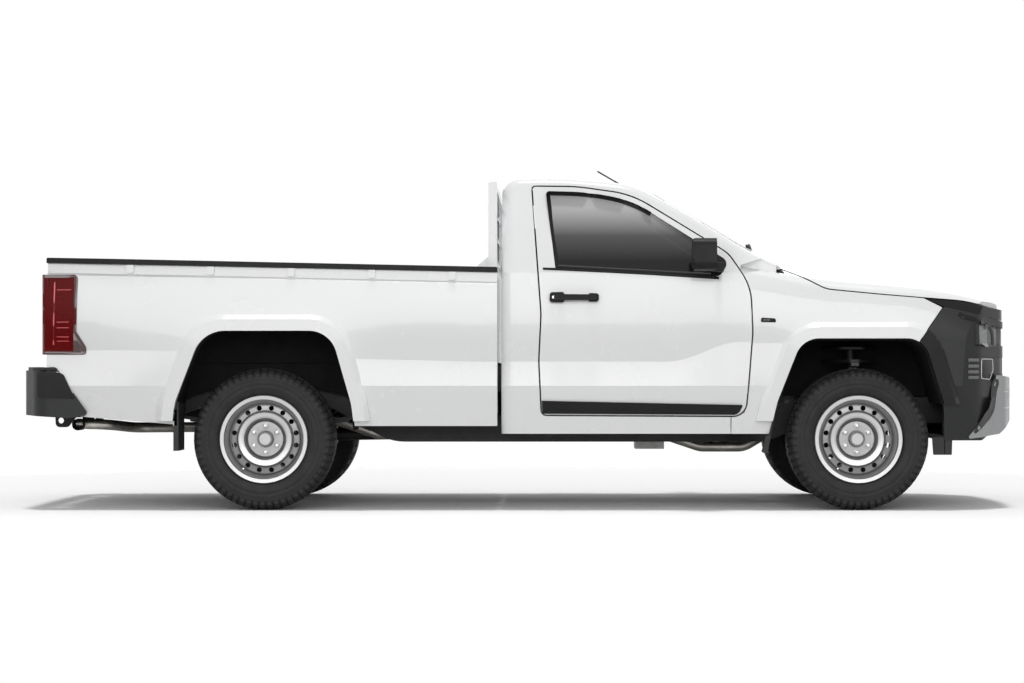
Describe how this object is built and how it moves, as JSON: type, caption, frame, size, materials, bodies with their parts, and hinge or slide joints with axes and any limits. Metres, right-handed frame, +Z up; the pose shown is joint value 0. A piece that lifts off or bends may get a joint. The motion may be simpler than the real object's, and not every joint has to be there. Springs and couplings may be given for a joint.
{
  "type": "single-cab pickup truck",
  "caption": "Single-cab pickup truck with a long open cargo bed, a guard frame behind the cab, steel wheels, opening doors, hood and tailgate, and steered front wheels.",
  "frame": {"origin": "on the ground, midway along the length and the width", "axes": "+X forward, +Y to the left when facing forward, +Z up"},
  "size_m": [5.3193, 2.1394, 1.8585],
  "materials": {
    "body_paint": "gloss white",
    "glass": "tinted, clear",
    "dark_trim": "grained black",
    "bumper_plastic": "grained dark grey",
    "trim_silver": "satin silver",
    "frame_black": "satin black",
    "wheel_steel": "satin silver",
    "tyre": "matt",
    "lamp_clear": "clear lens over a reflector",
    "lamp_red": "red lens",
    "cast_iron": "raw",
    "alloy": "cast",
    "exhaust_steel": "dull",
    "tank_plastic": "moulded black",
    "flap_rubber": "matt",
    "seat_cloth": "woven",
    "cabin_plastic": "grained"
  },
  "bodies": {
    "truck": {"frame_rails": "frame_black", "frame_crossmembers": "frame_black", "cab_shell": "body_paint", "cab_glass": "glass", "front_fenders": "body_paint", "front_bumper": "bumper_plastic", "front_lower_bar": "trim_silver", "grille": "dark_trim", "headlamps": "lamp_clear", "cargo_bed": "body_paint", "bed_sides": "body_paint", "bed_rail_caps": "dark_trim", "guard_frame": "body_paint", "tail_lamps": "lamp_red", "rear_bumper": "bumper_plastic", "front_arms": "frame_black", "front_struts": "frame_black", "rear_axle": "cast_iron", "leaf_springs": "frame_black", "rear_dampers": "frame_black", "propshaft": "frame_black", "engine_gearbox": "alloy", "exhaust": "exhaust_steel", "fuel_tank": "tank_plastic", "spare_wheel": "tyre", "mud_flaps": "flap_rubber", "wheel_liners": "tank_plastic", "cowl_wipers": "dark_trim", "aerial": "dark_trim", "seats": "seat_cloth", "dashboard": "cabin_plastic"},
    "door_right": {"door_right": "body_paint", "door_glass_right": "glass", "door_trim_right": "dark_trim"},
    "door_left": {"door_left": "body_paint", "door_glass_left": "glass", "door_trim_left": "dark_trim"},
    "hood": {"hood": "body_paint"},
    "tailgate": {"tailgate": "body_paint"},
    "steer_right": {"knuckle_right": "cast_iron"},
    "steer_left": {"knuckle_left": "cast_iron"},
    "wheel_front_right": {"rim_front_right": "wheel_steel", "tyre_front_right": "tyre"},
    "wheel_front_left": {"rim_front_left": "wheel_steel", "tyre_front_left": "tyre"},
    "wheel_rear_right": {"rim_rear_right": "wheel_steel", "tyre_rear_right": "tyre"},
    "wheel_rear_left": {"rim_rear_left": "wheel_steel", "tyre_rear_left": "tyre"},
    "steering_wheel": {"steering_wheel": "cabin_plastic"}
  },
  "joints": [
    {"name": "door_right_hinge", "type": "hinge", "parent": "truck", "child": "door_right", "pos_m": [1.165, -0.897, 0.84], "axis": [0, 0, 1], "range_deg": [0, 65]},
    {"name": "door_left_hinge", "type": "hinge", "parent": "truck", "child": "door_left", "pos_m": [1.165, 0.897, 0.84], "axis": [0, 0, -1], "range_deg": [0, 65]},
    {"name": "hood_hinge", "type": "hinge", "parent": "truck", "child": "hood", "pos_m": [1.402, 0, 1.286], "axis": [0, -1, 0], "range_deg": [0, 50]},
    {"name": "tailgate_hinge", "type": "hinge", "parent": "truck", "child": "tailgate", "pos_m": [-2.487, 0, 0.794], "axis": [0, -1, 0], "range_deg": [0, 90]},
    {"name": "steer_right_kingpin", "type": "hinge", "parent": "truck", "child": "steer_right", "pos_m": [1.77, -0.715, 0.373], "axis": [0, 0, 1], "range_deg": [-32, 32]},
    {"name": "steer_left_kingpin", "type": "hinge", "parent": "truck", "child": "steer_left", "pos_m": [1.77, 0.715, 0.373], "axis": [0, 0, 1], "range_deg": [-32, 32]},
    {"name": "wheel_front_right_spin", "type": "hinge", "parent": "steer_right", "child": "wheel_front_right", "pos_m": [1.77, -0.785, 0.373], "axis": [0, 1, 0], "continuous": true},
    {"name": "wheel_front_left_spin", "type": "hinge", "parent": "steer_left", "child": "wheel_front_left", "pos_m": [1.77, 0.785, 0.373], "axis": [0, 1, 0], "continuous": true},
    {"name": "wheel_rear_right_spin", "type": "hinge", "parent": "truck", "child": "wheel_rear_right", "pos_m": [-1.36, -0.785, 0.373], "axis": [0, 1, 0], "continuous": true},
    {"name": "wheel_rear_left_spin", "type": "hinge", "parent": "truck", "child": "wheel_rear_left", "pos_m": [-1.36, 0.785, 0.373], "axis": [0, 1, 0], "continuous": true},
    {"name": "steering_wheel_turn", "type": "hinge", "parent": "truck", "child": "steering_wheel", "pos_m": [0.7397, -0.4, 1.176], "axis": [-0.917, 0, 0.399], "range_deg": [-520, 520]}
  ],
  "couplings": [
    {"joint": "steer_left_kingpin", "follows": "steer_right_kingpin", "ratio": 1},
    {"joint": "steering_wheel_turn", "follows": "steer_right_kingpin", "ratio": 16}
  ]
}
